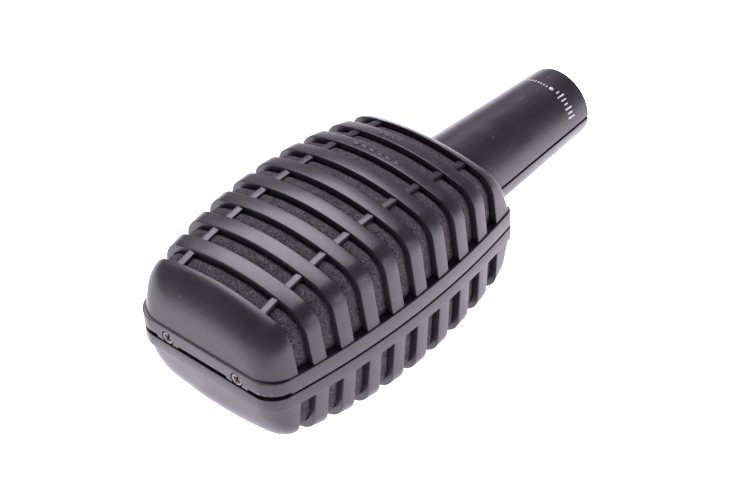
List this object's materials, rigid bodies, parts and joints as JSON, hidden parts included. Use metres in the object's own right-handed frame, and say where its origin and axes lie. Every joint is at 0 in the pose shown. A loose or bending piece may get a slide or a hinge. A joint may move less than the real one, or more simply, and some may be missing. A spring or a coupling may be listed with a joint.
{
  "type": "side-address dynamic microphone",
  "caption": "Handheld side-address microphone: slotted barrel-shaped metal head of two half shells over foam, round tapered handle with a recessed three-contact inlet.",
  "frame": {"origin": "centre of the overall box in plan, on the lowest point of the rear grille, so the microphone lies on its back on z = 0", "axes": "+X from the head's free end along the handle to the connector end, +Y across the head, +Z out through the front grille"},
  "size_m": [0.1604, 0.0658, 0.0599],
  "materials": {
    "satin_black_metal": "satin black lacquer on die-cast metal, worn bright at a few edges",
    "nickel_screw": "nickel plating, dulled, a trace of rust in the recess",
    "open_cell_foam": "matt charcoal open-cell foam",
    "black_plastic": "matt moulded plastic",
    "suspension_rubber": "matt black rubber",
    "magnet_steel": "plain turned iron and magnet alloy",
    "copper_wire": "enamelled copper winding",
    "diaphragm_film": "thin amber polymer film",
    "damping_cloth": "fine woven cloth",
    "grid_metal": "blackened perforated sheet",
    "gold_contact": "gold-plated contact"
  },
  "bodies": {
    "microphone_body": {"front_shell": "satin_black_metal", "rear_shell": "satin_black_metal", "end_screw_left": "nickel_screw", "end_screw_right": "nickel_screw", "front_foam_liner": "open_cell_foam", "rear_foam_liner": "open_cell_foam", "carrier_plate": "black_plastic", "front_suspension_ring": "suspension_rubber", "rear_suspension_ring": "suspension_rubber", "capsule_housing": "black_plastic", "magnet_pot": "magnet_steel", "magnet": "magnet_steel", "pole_piece": "magnet_steel", "top_plate": "magnet_steel", "clamp_ring": "black_plastic", "front_grid": "grid_metal", "rear_damping_cloth": "damping_cloth", "rear_grid": "grid_metal", "transformer_core": "magnet_steel", "transformer_winding": "copper_wire", "capsule_lead_hot": "copper_wire", "capsule_lead_cold": "copper_wire", "pin_lead_hot": "copper_wire", "pin_lead_cold": "copper_wire", "inlet_insert": "black_plastic", "contact_pin_1": "gold_contact", "contact_pin_2": "gold_contact", "contact_pin_3": "gold_contact", "ground_spring": "gold_contact"},
    "diaphragm_assembly": {"diaphragm": "diaphragm_film", "voice_coil": "copper_wire"}
  },
  "joints": [
    {"name": "diaphragm_travel", "type": "slide", "parent": "microphone_body", "child": "diaphragm_assembly", "axis": [0, 0, 1], "range_m": [-0.0003, 0.0003], "stiffness_N_per_m": 200}
  ]
}
